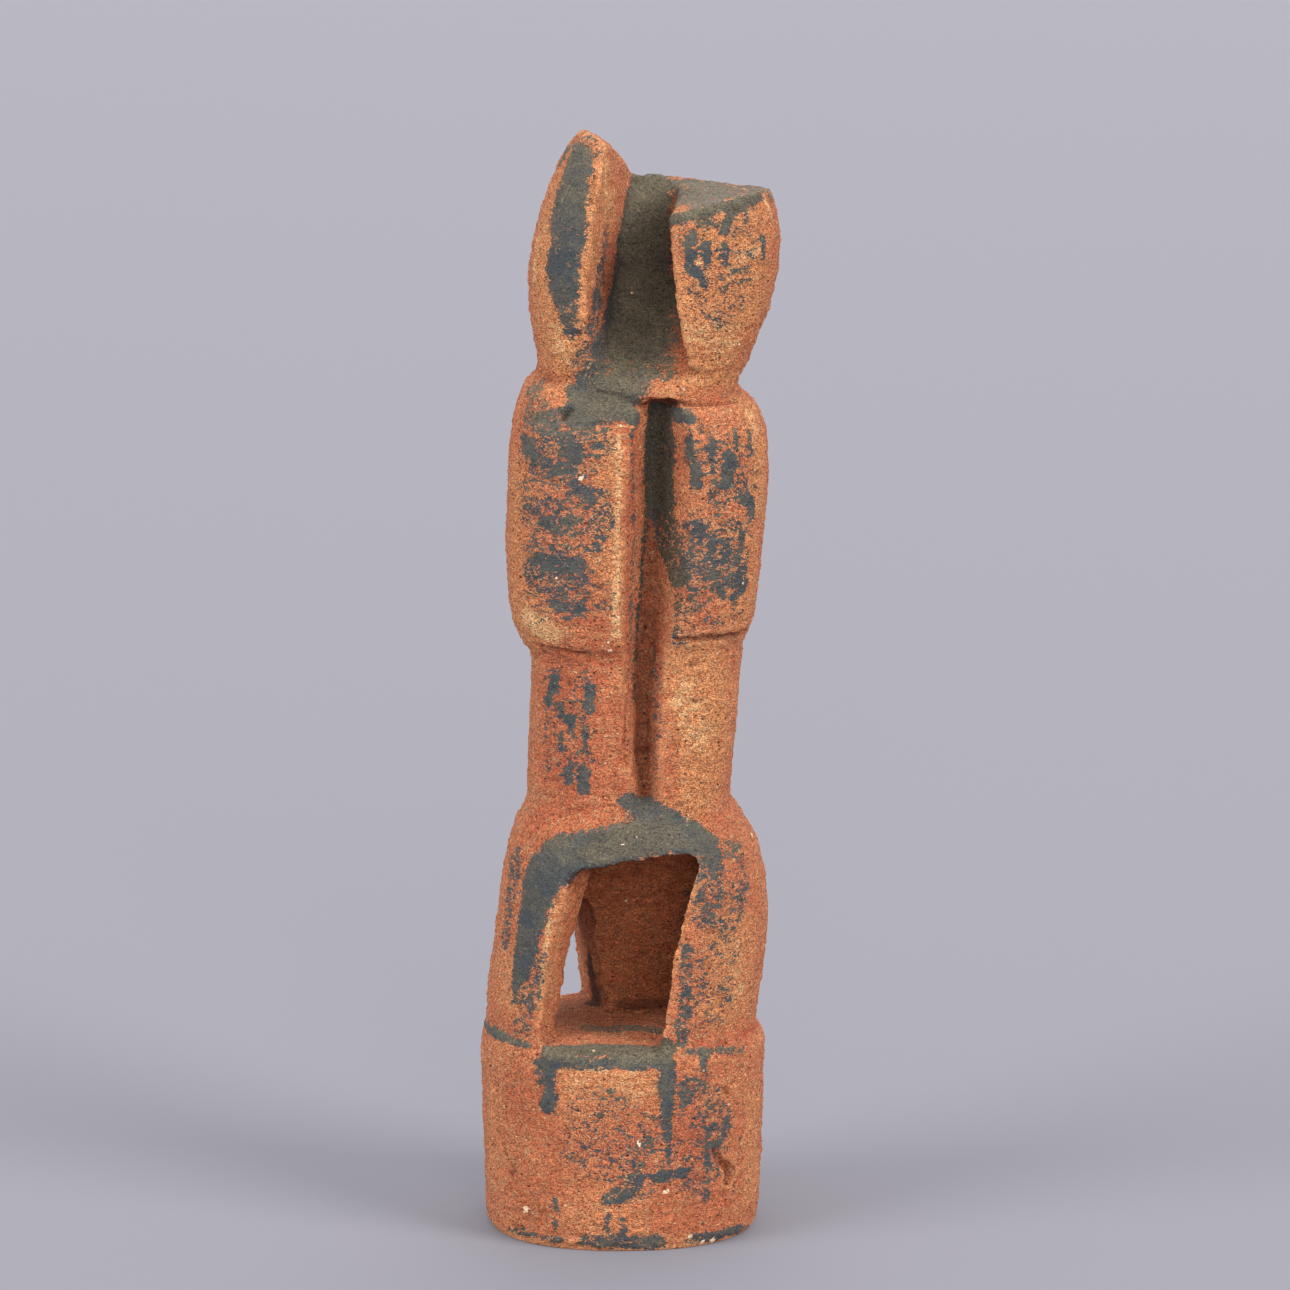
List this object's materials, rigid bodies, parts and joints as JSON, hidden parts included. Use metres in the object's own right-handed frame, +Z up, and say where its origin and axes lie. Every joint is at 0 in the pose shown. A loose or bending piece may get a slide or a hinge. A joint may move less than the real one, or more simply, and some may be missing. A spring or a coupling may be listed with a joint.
{
  "type": "stoneware figure sculpture",
  "caption": "Upright abstract standing figure in one piece: round base, three-legged hollow skirt, waist, square torso with a front groove and a split head.",
  "frame": {"origin": "under the middle of the figure's bounding box, on the plane it stands on", "axes": "+Z up from the base to the head, -Y towards the front with the window and the groove, +X towards the right-hand side of the picture"},
  "size_m": [0.1228, 0.1096, 0.4494],
  "materials": {
    "fired clay": null
  },
  "bodies": {
    "root": {"figure": "fired clay"}
  },
  "joints": []
}
